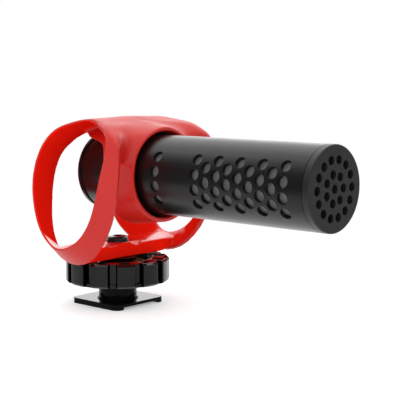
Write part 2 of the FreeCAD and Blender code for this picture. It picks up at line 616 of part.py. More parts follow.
def front_cap():
    """Perforated cap with a spigot in the tube."""
    spigot_x = TUBE_FRONT_X - FRONT_CAP_SPIGOT
    cap = spin_x([(MIC_FRONT_X, 0), (MIC_FRONT_X, TUBE_R - FRONT_CAP_EDGE),
                  (MIC_FRONT_X - FRONT_CAP_EDGE, TUBE_R), (TUBE_FRONT_X, TUBE_R),
                  (TUBE_FRONT_X, TUBE_BORE_R), (spigot_x, TUBE_BORE_R),
                  (spigot_x, TUBE_BORE_R - TUBE_WALL), (TUBE_FRONT_X, TUBE_BORE_R - TUBE_WALL),
                  (TUBE_FRONT_X, 0)])
    holes = [cap_hole(0, 0)]
    for k in range(CAP_OUTER_HOLES):
        holes.append(cap_hole(CAP_OUTER_RING_R, CAP_OUTER_PHASE + 360 / CAP_OUTER_HOLES * k))
    for k in range(CAP_INNER_HOLES):
        holes.append(cap_hole(CAP_INNER_RING_R, CAP_INNER_PHASE + 360 / CAP_INNER_HOLES * k))
    return cap.cut(holes)


def front_mesh():
    """Fine mesh disc clamped behind the cap's spigot."""
    return rod(TUBE_BORE_R, MESH_DISC_X, MESH_DISC_X + MESH_DISC_THICK)


def port_mesh():
    """Woven liner behind the side ports."""
    return pipe(TUBE_BORE_R, LINER_R, LINER_REAR_X, MESH_DISC_X)


def capsule():
    """Condenser capsule with a recessed grille face."""
    body = rod(CAPSULE_R, CAPSULE_REAR_X, CAPSULE_FRONT_X)
    return body.cut(rod(CAPSULE_R - CAPSULE_RIM, CAPSULE_FRONT_X - CAPSULE_GRILLE_DEPTH, CAPSULE_FRONT_X + OVERRUN))


def capsule_holder():
    """Soft ring that seals the capsule in the liner."""
    front = CAPSULE_FRONT_X - HOLDER_BACK
    return pipe(LINER_R, CAPSULE_R, front - HOLDER_LENGTH, front)


def capsule_gasket():
    """Flat gasket on the capsule's face."""
    return pipe(CAPSULE_R, CAPSULE_R - GASKET_WIDTH, CAPSULE_FRONT_X, CAPSULE_FRONT_X + GASKET_LENGTH)


def capsule_wires():
    """Pair of leads from the capsule to the board's front end."""
    leads = []
    for side in (-1, 1):
        leads.append(rod(WIRE_R, BOARD_FRONT_X - WIRE_OVERLAP, CAPSULE_REAR_X,
                         side * WIRE_SPACING, BOARD_TOP_Z + WIRE_R))
    return Part.makeCompound(leads)


def circuit_board():
    """Amplifier board."""
    half = BOARD_WIDTH / 2
    return box((BOARD_REAR_X, BOARD_FRONT_X), (-half, half), (BOARD_TOP_Z - BOARD_THICK, BOARD_TOP_Z))


def board_components():
    """Parts soldered to the board's top: a chip, two cans and a row of small parts."""
    chip_x = SOCKET_FRONT_X + CHIP_GAP
    chip = box((chip_x, chip_x + CHIP_SIZE), (-CHIP_SIZE / 2, CHIP_SIZE / 2),
               (BOARD_TOP_Z, BOARD_TOP_Z + CHIP_HEIGHT))
    parts = [chip]
    for side in (-1, 1):
        parts.append(post(CAN_R, BOARD_TOP_Z, BOARD_TOP_Z + CAN_HEIGHT,
                          chip_x + CHIP_SIZE / 2, side * (CHIP_SIZE / 2 + CAN_R + SMALL_PART / 2)))
    for k in range(SMALL_COUNT):
        y = (k - (SMALL_COUNT - 1) / 2) * 2 * SMALL_PART
        parts.append(box((chip_x + CHIP_SIZE + SMALL_PART / 2, chip_x + CHIP_SIZE + SMALL_PART * 3 / 2),
                         (y - SMALL_PART / 2, y + SMALL_PART / 2), (BOARD_TOP_Z, BOARD_TOP_Z + SMALL_PART / 2)))
    return Part.makeCompound(parts)


def board_carrier():
    """Half-round cradle in the tube that carries the board's edges."""
    rear, front = BOARD_REAR_X, LINER_REAR_X - CARRIER_GAP
    cradle = pipe(TUBE_BORE_R, TUBE_BORE_R - CARRIER_WALL, rear, front)
    half = BOARD_WIDTH / 2
    ledges = box((rear, front), (-half, half), (BOARD_TOP_Z - BOARD_THICK - CARRIER_LEDGE,
                                                BOARD_TOP_Z - BOARD_THICK))
    clear = box((rear - OVERRUN, front + OVERRUN), (CARRIER_LEDGE - half, half - CARRIER_LEDGE),
                (AXIS_Z - TUBE_R, AXIS_Z))
    ledges = ledges.cut(clear)
    below = box((rear, front), (-TUBE_R, TUBE_R), (AXIS_Z - TUBE_R, BOARD_TOP_Z - BOARD_THICK))
    return joined([cradle, ledges]).common(below).common(rod(TUBE_BORE_R, rear, front))


def contact_places():
    """Contacts along the socket as (rear end, side): two on one side, one on the other."""
    first = SEAL_REAR_X + SOCKET_LENGTH / 4
    step = SOCKET_LENGTH / 5
    return [(first, 1), (first + step, -1), (first + 2 * step, 1)]


def contact_blade(rear, side, play):
    """Blade from the socket's side towards the bore, with play all round as a slot."""
    inner = SOCKET_BORE_R + CONTACT_WALL - play
    blade = box((rear - play, rear + CONTACT_WIDTH + play), (inner, SOCKET_WIDTH / 2 + CONTACT_THICK),
                (AXIS_Z - CONTACT_WIDTH / 2 - play, AXIS_Z + CONTACT_WIDTH / 2 + play))
    return blade if side > 0 else blade.mirror(V(0, 0, 0), V(0, 1, 0))


def jack_socket():
    """Socket block with a nose through the rear cap, a plug bore and slots for the contacts."""
    rear = SEAL_REAR_X + SOCKET_SHOULDER
    width, height = SOCKET_WIDTH / 2, SOCKET_HEIGHT / 2
    block = box((rear, SOCKET_FRONT_X), (-width, width), (AXIS_Z - height, AXIS_Z + height))
    socket = joined([block, rod(SOCKET_NOSE_R, MIC_REAR_X, rear + OVERRUN)])
    cuts = [rod(SOCKET_BORE_R, MIC_REAR_X - OVERRUN, MIC_REAR_X + SOCKET_BORE_DEPTH)]
    cuts += [contact_blade(x, side, FIT) for x, side in contact_places()]
    return socket.cut(cuts)


def jack_contacts():
    """Spring contacts: a blade in the socket and a leg down its side to the board."""
    contacts = []
    for rear, side in contact_places():
        leg = box((rear, rear + CONTACT_WIDTH), (SOCKET_WIDTH / 2, SOCKET_WIDTH / 2 + CONTACT_THICK),
                  (BOARD_TOP_Z, AXIS_Z + CONTACT_WIDTH / 2))
        leg = leg if side > 0 else leg.mirror(V(0, 0, 0), V(0, 1, 0))
        contacts.append(joined([contact_blade(rear, side, 0), leg]))
    return Part.makeCompound(contacts)


def rear_cap():
    """Rear cap with a spigot in the tube and a hole for the socket's nose."""
    edge = REAR_CAP_EDGE
    spigot_x = TUBE_REAR_X + REAR_CAP_SPIGOT
    return spin_x([(MIC_REAR_X, SOCKET_NOSE_R + FIT), (MIC_REAR_X, TUBE_R - edge), (MIC_REAR_X + edge, TUBE_R),
                   (SEAL_REAR_X, TUBE_R), (SEAL_REAR_X, TUBE_BORE_R), (spigot_x, TUBE_BORE_R),
                   (spigot_x, TUBE_BORE_R - TUBE_WALL), (SEAL_REAR_X, TUBE_BORE_R - TUBE_WALL),
                   (SEAL_REAR_X, SOCKET_NOSE_R + FIT)])


def rear_seal():
    """Dark ring in the groove between tube and rear cap."""
    return pipe(TUBE_R - SEAL_INSET, TUBE_BORE_R, SEAL_REAR_X, TUBE_REAR_X)


def main():
    os.makedirs("parts", exist_ok=True)
    save("shoe_foot", shoe_foot())
    save("stem_insert", stem_insert())
    save("mount_bolt", mount_bolt())
    save("bolt_washer", bolt_washer())
    save("lock_ring", lock_ring())
    save("lock_ring_bush", lock_ring_bush())
    save("clamp_washer", clamp_washer())
    save("suspension_mount", suspension_mount())
    save("sleeve_grip_rear", sleeve_grip(SLEEVE_REAR_X + GRIP_REAR_INSET))
    save("sleeve_grip_front", sleeve_grip(SLEEVE_FRONT_X - GRIP_FRONT_INSET - GRIP_LENGTH))
    save("mic_tube", mic_tube())
    save("front_cap", front_cap())
    save("front_mesh", front_mesh())
    save("port_mesh", port_mesh())
    save("capsule", capsule())
    save("capsule_holder", capsule_holder())
    save("capsule_gasket", capsule_gasket())
    save("capsule_wires", capsule_wires())
    save("circuit_board", circuit_board())
    save("board_components", board_components())
    save("board_carrier", board_carrier())
    save("jack_socket", jack_socket())
    save("jack_contacts", jack_contacts())
    save("rear_cap", rear_cap())
    save("rear_seal", rear_seal())


main()
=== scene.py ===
import math

import bmesh
import bpy
import numpy as np
from mathutils import Matrix, Vector
from mathutils.kdtree import KDTree


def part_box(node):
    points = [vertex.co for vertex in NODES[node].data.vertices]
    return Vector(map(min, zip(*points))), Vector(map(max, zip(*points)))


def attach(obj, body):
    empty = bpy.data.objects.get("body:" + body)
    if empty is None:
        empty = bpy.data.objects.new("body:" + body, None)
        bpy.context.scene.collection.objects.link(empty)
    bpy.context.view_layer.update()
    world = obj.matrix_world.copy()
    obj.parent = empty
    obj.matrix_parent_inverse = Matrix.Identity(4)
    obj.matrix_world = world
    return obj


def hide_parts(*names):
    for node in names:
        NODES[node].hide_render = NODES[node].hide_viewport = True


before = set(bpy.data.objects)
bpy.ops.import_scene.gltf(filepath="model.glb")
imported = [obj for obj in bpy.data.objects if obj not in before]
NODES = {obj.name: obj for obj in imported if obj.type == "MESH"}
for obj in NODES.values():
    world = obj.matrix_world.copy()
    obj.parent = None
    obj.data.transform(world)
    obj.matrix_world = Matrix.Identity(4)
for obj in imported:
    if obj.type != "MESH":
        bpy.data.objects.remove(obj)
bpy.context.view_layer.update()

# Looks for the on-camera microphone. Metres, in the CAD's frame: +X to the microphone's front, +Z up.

# Camera, solved from the photograph
CAMERA_PLACE = (0.2178, -0.2095, 0.0642)
CAMERA_AZIMUTH = 41.764            # degrees from the side view towards the front
CAMERA_ELEVATION = 6.744
CAMERA_ROLL = 0.023
FRAME_PIXELS = 400
FOCAL_PIXELS = 1098.3
SENSOR = 36.0                      # mm, Blender's own
CLIP_START = 0.01

# Light
FILL_TOP = 0.95                    # surroundings that matt surfaces see, overhead and round the sides
FILL_SIDE = 1.55
# Surroundings that shiny surfaces see: behind the camera, beside it, opposite, and by height
MIRROR_FRONT = 0.38
MIRROR_SIDE = 1.0
MIRROR_BACK = 1.5
MIRROR_BELOW = 0.5
MIRROR_TOP = 3.0
OVERHEAD_NEAR = 0.15               # share of the overhead level that is left on the near side
GLARE_EXTRA = 0.5                  # share added to the level opposite the camera, above the horizon
FLOOR_MIRROR = 0.35                # share of the floor that shiny surfaces see
DARK_PANELS = ((35, 0.10), (228, 0.14))    # degrees round the upright axis, share of the level left there
PANEL_EDGE = (0.60, 0.88)          # cosines from a panel's middle where it starts and is full
FRONT_EDGE = (0.35, 0.85)          # cosines from the camera's direction, from the side's level to the front's
BACK_EDGE = (-0.55, -0.05)         # the same, from the level opposite to the side's
GLARE_EDGE = (-0.6, -0.4)          # the same, from the full glare to none
GLARE_LOW = (0.0, 0.06)            # heights, as sines of the elevation, where the glare starts
GLARE_HIGH = (0.34, 0.44)          # and where it ends
BELOW_EDGE = (-0.3, -0.05)         # heights from the full level below to none
ABOVE_EDGE = (0.56, 0.88)          # heights from no overhead level to the full one
OVERHEAD_EDGE = (-0.15, 0.35)      # the direction's Y, from the near side's share to the whole
FILL_EDGE = (0.15, 0.85)           # heights from the side's fill to the top's
SOFTBOX_PLACE = (0.02, 0.04, 0.55)
SOFTBOX_SIZE = 0.5
SOFTBOX_WATTS = 0.3
FLOOR_RADIUS = 0.16
FLOOR_SIDES = 64
FLOOR_FADE = 0.5                   # share of the radius where the fade starts
FLOOR_COLOUR = (0.95, 0.95, 0.95)
FLOOR_DROP = -0.00005              # just under the foot's face
FLOOR_ROUGH = 0.9
FLOOR_LIFT = 0.28                  # light that the floor adds, for the camera alone

# Moulding's skin, millimetres
SKIN_VOXEL = 0.26
SKIN_ROUNDS = 8                    # smoothing that keeps the size
SKIN_SHARES = (0.5, -0.52)         # share of the way to the neighbours' middle, then back
CLOSE_GAP = 0.5                    # gaps up to twice this are closed
BLEND_ROUNDS = 60                  # smoothing of the inner corners
BLEND_SHARE = 0.5                  # share of the way to the neighbours' middle in a round
BLEND_NEAR = 0.9                   # full effect this near an inner corner
BLEND_FAR = 3.6                    # none from here on
BLEND_CAP = 0.60                   # most that this smoothing moves a point, above the base bar
BAR_CAP = 0.10                     # the same on the base bar, whose edges stay crisp
BAR_TOP = (19.0, 25.0)             # height over which the one gives way to the other
LUMPS = ((15.5, 14.0, 40.5), (-1.5, 7.0, 47.3))    # where the hood ends on the band, on both sides
LUMP_REACH = (2.0, 4.5)            # full effect and no effect, this far from such a place
LUMP_CAP = 1.5                     # added there to the most that it moves a point
CREASE_ANGLE = 10                  # degrees from which an inner corner counts
CREASE_STEP = 0.3                  # spacing of the points along it
SAME_POINT = 1e-7                  # metres
LEAST_LENGTH = 1e-9                # divides where a length is nothing

# Moulding's two finishes, millimetres. Their reds differ by painted light: the polished red is lighter, the
# matt red darker.
BAR_HALF = 10.5                    # half the length of the bar's polished middle
BAR_HALF_STEP = 0.2                # half the width over which the finish changes there
BAR_BLEND = 1.0                    # height over which the bar's finish gives way to the loops'
SIDE_STEP = 1.5                    # half the distance along the normal, from inside to outside
FRONTAL_EDGE = (0.55, 0.75)        # normal's X over which the bar's ends turn from matt to polished
SIDEWAYS_EDGE = (0.6, 0.85)        # normal's part outwards over which the sides turn matt
UPWARD_EDGE = (0.55, 0.95)         # normal's Z over which the polished finish gains its shine, a painted highlight on faces turned up only
RED_DRIFT_SCALE = 0.12
# polished reds painted lighter to lift the shade inside the loops; matt reds painted darker where the outside
# takes more light
POLISHED_REDS_PAINTED_LIGHTER = ((236, 27, 13), (242, 31, 16))
MATT_REDS_PAINTED_DARKER = ((186, 20, 11), (193, 24, 13))
POLISHED_ROUGH = 0.14
MATT_ROUGH = 0.38
MATT_ROUGH_SWING = 0.08            # what the noise adds to it at most
MATT_ROUGH_SCALE = 0.9
GRAIN_SCALE = 5.0
GRAIN_DEPTH = 0.012

# Lock ring, millimetres and degrees: the lobes' places are the CAD's
LOBE_COUNT = 12
LOBE_PHASE = -4.5
LOBE_GAP_HALF = 1.15
RING_WALL_R = 12.8
LOBE_EDGE_R = 13.9                 # flanks end here, where the rounded edges start
FLANK_NEAR = 0.3                   # painted shade: dark strip on the wall beside each lobe's flank
WALL_NEAR = 0.3                    # painted shade starts this far inside the wall's radius
SOFT_STEP = 0.1                    # width over which the painted shade ends

# Surfaces
MM = 0.001
BLACK = (0, 0, 0, 1)
WHITE = (1, 1, 1, 1)
BEVEL_SAMPLES = 4
PLAIN_SHINE = 0.5                  # specular level
GLOSS_BLACK = (6, 5, 5)
GLOSS_ROUGH = 0.06
GLOSS_EDGE = 0.2                   # radius of the softened edges, mm
SEAM_HALF = 0.05                   # half the dark line where a cap meets the tube, mm

# Plain finishes: name, colour from 0 to 255, roughness, further settings, and the nodes that wear it
FINISHES = (
    ("black_gloss", GLOSS_BLACK, GLOSS_ROUGH, {"edge": GLOSS_EDGE}, ("clamp_washer",)),
    ("black_foot", GLOSS_BLACK, 0.08, {"edge": GLOSS_EDGE, "shine": 0.15}, ("shoe_foot",)),
    ("black_tube", (10, 9, 9), 0.29, {"edge": 0.1}, ("mic_tube", "rear_cap")),
    ("black_cap", (29, 29, 29), 0.38, {"edge": 0.15, "grain": 0.002, "grain_scale": 9.0}, ("front_cap",)),
    ("black_steel", (20, 20, 20), 0.22, {"edge": 0.1}, ("mount_bolt", "bolt_washer")),
    ("black_rubber", (12, 12, 12), 0.6, {"grain": 0.02, "grain_scale": 6.0},
     ("sleeve_grip_rear", "sleeve_grip_front", "rear_seal", "capsule_holder", "capsule_gasket")),
    ("capsule_metal", (190, 190, 192), 0.3, {"metallic": 1.0}, ("capsule",)),
    ("brass", (196, 160, 92), 0.3, {"metallic": 1.0}, ("stem_insert", "lock_ring_bush", "jack_contacts")),
    ("wire_sleeve", (150, 25, 20), 0.4, {}, ("capsule_wires",)),
    ("board_green", (20, 74, 36), 0.35, {}, ("circuit_board",)),
    ("component_black", (18, 18, 18), 0.4, {}, ("board_components",)),
    ("carrier_plastic", (16, 16, 16), 0.45, {}, ("board_carrier", "jack_socket")),
)
SEAMED = ("black_tube", "black_cap")    # finishes with a dark line at the tube's ends

# Noise over moulded surfaces, scales per millimetre
NOISE_ROUGH = 0.5
NOISE_SPAN = (0.3, 0.7)            # values between which most of the noise lies
PLAIN_DETAIL = 2.0
FINE_DETAIL = 3.0
DRIFT_SCALE = 0.15
TONE_SWING = 0.08                  # share by which the tone darkens at most
GLOSS_SCALE = 0.3
GLOSS_SWING = 0.06                 # share by which the roughness changes at most, both ways

# Woven wire, millimetres
WEAVE_PITCH = 0.62
WEAVE_ROUND = 9.4                  # outer radius of the liner behind the ports
WEAVE_DEPTH = 0.08
WEAVE_EDGE = (-0.6, 0.9)           # from the gap's tone to the thread's
WEAVE_TONES = ((24, 24, 24), (186, 184, 182))
WEAVE_METALLIC = 0.8
WEAVE_ROUGH = 0.4


def linear(*srgb):
    """Linear colour from 0 to 255 values."""
    parts = [value / 255 for value in srgb]
    return tuple(v / 12.92 if v <= 0.04045 else ((v + 0.055) / 1.055) ** 2.4 for v in parts) + (1.0,)


# Node helpers

def new_material(name):
    """Empty node material with its shader and output."""
    material = bpy.data.materials.new(name)
    material.use_nodes = True
    tree = material.node_tree
    tree.nodes.clear()
    shader = tree.nodes.new("ShaderNodeBsdfPrincipled")
    output = tree.nodes.new("ShaderNodeOutputMaterial")
    tree.links.new(shader.outputs["BSDF"], output.inputs["Surface"])
    return material, tree, shader


def feed(tree, socket, value):
    """Links a socket, or sets a plain value."""
    if isinstance(value, bpy.types.NodeSocket):
        tree.links.new(value, socket)
    else:
        socket.default_value = value


def maths(tree, operation, first, second=0.0, third=None):
    """Math node's result."""
    node = tree.nodes.new("ShaderNodeMath")
    node.operation = operation
    feed(tree, node.inputs[0], first)
    feed(tree, node.inputs[1], second)
    if third is not None:
        feed(tree, node.inputs[2], third)
    return node.outputs[0]


def ranged(tree, value, low, high, new_low, new_high):
    """Value moved from one range to another, clamped."""
    node = tree.nodes.new("ShaderNodeMapRange")
    for socket, setting in zip(node.inputs, (value, low, high, new_low, new_high)):
        feed(tree, socket, setting)
    return node.outputs["Result"]


def place(tree):
    """Surface point in the piece's own frame, in millimetres: the vector, and X, Y and Z."""
    where = tree.nodes.new("ShaderNodeTexCoord").outputs["Object"]
    scale = tree.nodes.new("ShaderNodeVectorMath")
    scale.operation = "SCALE"
    tree.links.new(where, scale.inputs[0])
    scale.inputs["Scale"].default_value = 1 / MM
    parts = tree.nodes.new("ShaderNodeSeparateXYZ")
    tree.links.new(scale.outputs[0], parts.inputs[0])
    return scale.outputs[0], parts.outputs


def noise(tree, where, scale, detail=PLAIN_DETAIL):
    """Noise over a place given in millimetres."""
    node = tree.nodes.new("ShaderNodeTexNoise")
    tree.links.new(where, node.inputs["Vector"])
    node.inputs["Scale"].default_value = scale
    node.inputs["Detail"].default_value = detail
    node.inputs["Roughness"].default_value = NOISE_ROUGH
    return node.outputs["Fac"]


def blend_value(tree, share, first, second):
    """Mix of two plain values by a share."""
    node = tree.nodes.new("ShaderNodeMix")
    for socket, value in (("Factor", share), ("A", first), ("B", second)):
        feed(tree, node.inputs[socket], value)
    return node.outputs["Result"]


def blend(tree, share, first, second):
    """Colour mix by a share."""
    node = tree.nodes.new("ShaderNodeMix")
    node.data_type = "RGBA"
    feed(tree, node.inputs["Factor"], share)
    feed(tree, node.inputs["A"], first)
    feed(tree, node.inputs["B"], second)
    return node.outputs["Result"]


def bump(tree, shader, height, depth, normal=None):
    """Bump of a depth in millimetres, over a rounded normal where one is given."""
    node = tree.nodes.new("ShaderNodeBump")
    node.inputs["Distance"].default_value = depth * MM
    if normal is not None:
        tree.links.new(normal, node.inputs["Normal"])
    tree.links.new(height, node.inputs["Height"])
    tree.links.new(node.outputs["Normal"], shader.inputs["Normal"])


def soft_edges(tree, radius):
    """Normal rounded over the edges by a radius in millimetres."""
    node = tree.nodes.new("ShaderNodeBevel")
    node.samples = BEVEL_SAMPLES
    node.inputs["Radius"].default_value = radius * MM
    return node.outputs["Normal"]


def moulded(name, srgb, rough, grain=0.0, grain_scale=0.0, metallic=0.0, edge=0.0, shine=PLAIN_SHINE,
            seams=()):
    """Moulded, coated or metal surface: slow tone drift, uneven gloss, and what the settings ask for."""
    material, tree, shader = new_material(name)
    colour = linear(*srgb)
    where, (x, _, _) = place(tree)
    drift = noise(tree, where, DRIFT_SCALE)
    darker = tuple(c * (1 - TONE_SWING) for c in colour[:3]) + (1.0,)
    tone = blend(tree, drift, darker, colour)
    shader.inputs["Specular IOR Level"].default_value = shine
    clear = None
    for seam in seams:
        away = maths(tree, "ABSOLUTE", maths(tree, "SUBTRACT", x, seam))
        beside = ranged(tree, away, SEAM_HALF, SEAM_HALF * 2, 0.0, 1.0)
        clear = beside if clear is None else maths(tree, "MULTIPLY", clear, beside)
    if seams:
        tone = blend(tree, clear, BLACK, tone)
        tree.links.new(maths(tree, "MULTIPLY", clear, shine), shader.inputs["Specular IOR Level"])
    tree.links.new(tone, shader.inputs["Base Color"])
    swung = noise(tree, where, GLOSS_SCALE)
    gloss = ranged(tree, swung, *NOISE_SPAN, rough * (1 - GLOSS_SWING), rough * (1 + GLOSS_SWING))
    tree.links.new(gloss, shader.inputs["Roughness"])
    shader.inputs["Metallic"].default_value = metallic
    rounded = soft_edges(tree, edge) if edge else None
    if grain:
        bump(tree, shader, noise(tree, where, grain_scale, FINE_DETAIL), grain, normal=rounded)
    elif edge:
        tree.links.new(rounded, shader.inputs["Normal"])
    return material


def ring_gloss_painted_shade(name):
    """Gloss black for the lock ring, with painted shade, black and without shine, in the corners between its
    lobes and the wall.
    """
    material = moulded(name, GLOSS_BLACK, GLOSS_ROUGH, edge=GLOSS_EDGE)
    tree = material.node_tree
    shader = tree.nodes["Principled BSDF"]
    _, (x, y, _) = place(tree)
    reach = maths(tree, "SQRT", maths(tree, "MULTIPLY_ADD", x, x, maths(tree, "MULTIPLY", y, y)))
    step = 2 * math.pi / LOBE_COUNT
    turn = maths(tree, "SUBTRACT", maths(tree, "ARCTAN2", y, x), math.radians(LOBE_PHASE))
    from_gap = maths(tree, "SUBTRACT", maths(tree, "FLOORED_MODULO", turn, step), step / 2)
    across = maths(tree, "ABSOLUTE", maths(tree, "MULTIPLY", maths(tree, "SINE", from_gap), reach))
    strip = LOBE_GAP_HALF - FLANK_NEAR
    flank = LOBE_GAP_HALF + SOFT_STEP
    inner = RING_WALL_R - WALL_NEAR
    clear = maths(tree, "MAXIMUM", ranged(tree, across, strip - SOFT_STEP, strip, 1.0, 0.0),
                  ranged(tree, across, flank, flank + SOFT_STEP, 0.0, 1.0))
    clear = maths(tree, "MAXIMUM", clear, ranged(tree, reach, LOBE_EDGE_R - SOFT_STEP, LOBE_EDGE_R, 0.0, 1.0))
    clear = maths(tree, "MAXIMUM", clear, ranged(tree, reach, inner, inner + SOFT_STEP, 1.0, 0.0))
    # painted shade: black and without shine in the corners between the lobes and the wall
    tree.links.new(blend(tree, clear, BLACK, linear(*GLOSS_BLACK)), shader.inputs["Base Color"])
    tree.links.new(maths(tree, "MULTIPLY", clear, PLAIN_SHINE), shader.inputs["Specular IOR Level"])
    return material


def inner_corners(mesh):
    """Points along the inner corners of a closed mesh, in millimetres."""
    work = bmesh.new()
    work.from_mesh(mesh)
    bmesh.ops.remove_doubles(work, verts=work.verts, dist=SAME_POINT)
    points = []
    for edge in work.edges:
        if len(edge.link_faces) != 2 or edge.calc_face_angle_signed(0) > -math.radians(CREASE_ANGLE):
            continue
        first, last = (vertex.co / MM for vertex in edge.verts)
        steps = max(1, math.ceil((last - first).length / CREASE_STEP))
        points += [first.lerp(last, k / steps) for k in range(steps + 1)]
    work.free()
    return points


def smoothed(points, edges, rounds, shares):
    """Points moved towards their neighbours' middle, by one share after another in each round."""
    counts = np.bincount(edges.ravel(), minlength=len(points))[:, None]
    for _ in range(rounds):
        for share in shares:
            total = np.stack([np.bincount(edges[:, 0], points[edges[:, 1], axis], len(points))
                              + np.bincount(edges[:, 1], points[edges[:, 0], axis], len(points))
                              for axis in range(3)], axis=1)
            points = points + share * (total / counts - points)
    return points


def remeshed(mesh):
    """Even mesh round a closed shape. What overlaps becomes one."""
    rough = bpy.data.objects.new("rough", mesh)
    bpy.context.scene.collection.objects.link(rough)
    remesh = rough.modifiers.new("skin", "REMESH")
    remesh.mode = "VOXEL"
    remesh.voxel_size = SKIN_VOXEL * MM
    shape = rough.evaluated_get(bpy.context.evaluated_depsgraph_get())
    even = bpy.data.meshes.new_from_object(shape)
    bpy.data.objects.remove(rough)
    return even


def read_points(mesh):
    """Vertices in millimetres."""
    points = np.empty(len(mesh.vertices) * 3)
    mesh.vertices.foreach_get("co", points)
    return points.reshape(-1, 3) / MM


def write_points(mesh, points):
    """Sets the vertices from millimetres."""
    mesh.vertices.foreach_set("co", (points * MM).ravel())
    mesh.update()


def swell(mesh, distance):
    """Moves a mesh outwards along its normals by a distance in millimetres."""
    normals = np.empty(len(mesh.vertices) * 3)
    mesh.vertex_normals.foreach_get("vector", normals)
    write_points(mesh, read_points(mesh) + distance * normals.reshape(-1, 3))


def moulded_skin(name):
    """Copy of a CAD node as one even skin, with small radii on its edges and fillets in its inner corners."""
    source = NODES[name]
    mesh = remeshed(source.data.copy())
    swell(mesh, CLOSE_GAP)
    mesh = remeshed(mesh)
    swell(mesh, -CLOSE_GAP)
    edges = np.empty(len(mesh.edges) * 2, dtype=np.int32)
    mesh.edges.foreach_get("vertices", edges)
    edges = edges.reshape(-1, 2)
    points = smoothed(read_points(mesh), edges, SKIN_ROUNDS, SKIN_SHARES)
    corners = inner_corners(source.data)
    tree = KDTree(len(corners))
    for index, corner in enumerate(corners):
        tree.insert(corner, index)
    tree.balance()
    away = np.array([tree.find(point)[2] for point in points])
    lump = np.zeros(len(points))
    ease = np.clip((BLEND_FAR - away) / (BLEND_FAR - BLEND_NEAR), 0, 1)[:, None]
    for x, y, z in LUMPS:
        for side in (y, -y):
            reach = np.linalg.norm(points - (x, side, z), axis=1)
            lump = np.maximum(lump, np.interp(reach, LUMP_REACH, (1, 0)))
    ease = np.maximum(ease, lump[:, None])
    eased = points
    for _ in range(BLEND_ROUNDS):
        eased = eased + ease * (smoothed(eased, edges, 1, (BLEND_SHARE,)) - eased)
    move = eased - points
    length = np.linalg.norm(move, axis=1, keepdims=True)
    cap = np.interp(points[:, 2:], BAR_TOP, (BAR_CAP, BLEND_CAP)) + LUMP_CAP * lump[:, None]
    write_points(mesh, points + move * np.minimum(1, cap / np.maximum(length, LEAST_LENGTH)))
    mesh.polygons.foreach_set("use_smooth", np.ones(len(mesh.polygons), dtype=bool))
    mesh.name = name + "_skin"
    piece = bpy.data.objects.new(name + "_skin", mesh)
    bpy.context.scene.collection.objects.link(piece)
    return piece


def red_finishes_painted_light():
    """Red moulding: finely textured outside, polished inside and on the middle of the base bar. The polished
    red is painted lighter, to lift the shade inside the loops, and the matt red is painted darker, where the
    outside takes more light.
    """
    material, tree, shader = new_material("red_moulding")
    where, (x, y, z) = place(tree)
    shape = tree.nodes.new("ShaderNodeNewGeometry").outputs["Normal"]
    turned = tree.nodes.new("ShaderNodeVectorTransform")
    turned.vector_type = "NORMAL"
    turned.convert_from, turned.convert_to = "WORLD", "OBJECT"
    tree.links.new(shape, turned.inputs[0])
    normal = tree.nodes.new("ShaderNodeSeparateXYZ")
    tree.links.new(turned.outputs[0], normal.inputs[0])
    low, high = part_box("suspension_mount")
    centre_z = (low.z + high.z) / 2 / MM
    along = maths(tree, "MULTIPLY", normal.outputs["X"], x)
    outward = maths(tree, "MULTIPLY_ADD", normal.outputs["Z"], maths(tree, "SUBTRACT", z, centre_z), along)
    outside = ranged(tree, outward, -SIDE_STEP, SIDE_STEP, 0.0, 1.0)
    across = ranged(tree, maths(tree, "ABSOLUTE", y), BAR_HALF - BAR_HALF_STEP, BAR_HALF + BAR_HALF_STEP,
                    0.0, 1.0)
    turned_off = ranged(tree, normal.outputs["X"], *FRONTAL_EDGE, 1.0, 0.0)
    over = ranged(tree, z, BAR_TOP[0], BAR_TOP[0] + BAR_BLEND, 0.0, 1.0)
    besides = maths(tree, "MAXIMUM", maths(tree, "MULTIPLY", across, turned_off), over)
    outside = maths(tree, "MULTIPLY", outside, besides)
    sideways = maths(tree, "MULTIPLY", normal.outputs["Y"], maths(tree, "SIGN", y))
    outside = maths(tree, "MAXIMUM", outside, ranged(tree, sideways, *SIDEWAYS_EDGE, 0.0, 1.0))
    drift = noise(tree, where, RED_DRIFT_SCALE)
    # painted light: the polished red is lighter to lift the shade inside, the matt red darker where the
    # outside is lit more
    polished_painted_lighter = blend(tree, drift, *[linear(*red) for red in POLISHED_REDS_PAINTED_LIGHTER])
    matt_painted_darker = blend(tree, drift, *[linear(*red) for red in MATT_REDS_PAINTED_DARKER])
    tree.links.new(blend(tree, outside, polished_painted_lighter, matt_painted_darker), shader.inputs["Base Color"])
    uneven = noise(tree, where, MATT_ROUGH_SCALE, FINE_DETAIL)
    texture = maths(tree, "MULTIPLY_ADD", uneven, MATT_ROUGH_SWING, MATT_ROUGH)
    tree.links.new(blend_value(tree, outside, POLISHED_ROUGH, texture), shader.inputs["Roughness"])
    # painted highlight: the polished finish shines only on faces turned up
    upward_painted_shine = ranged(tree, normal.outputs["Z"], *UPWARD_EDGE, 0.0, 1.0)
    tree.links.new(blend_value(tree, outside, upward_painted_shine, PLAIN_SHINE), shader.inputs["Specular IOR Level"])
    grain = maths(tree, "MULTIPLY", noise(tree, where, GRAIN_SCALE, FINE_DETAIL), outside)
    bump(tree, shader, grain, GRAIN_DEPTH)
    return material


def dress(material, *names):
    """Gives CAD nodes a material."""
    for name in names:
        data = NODES[name].data
        data.materials.clear()
        data.materials.append(material)


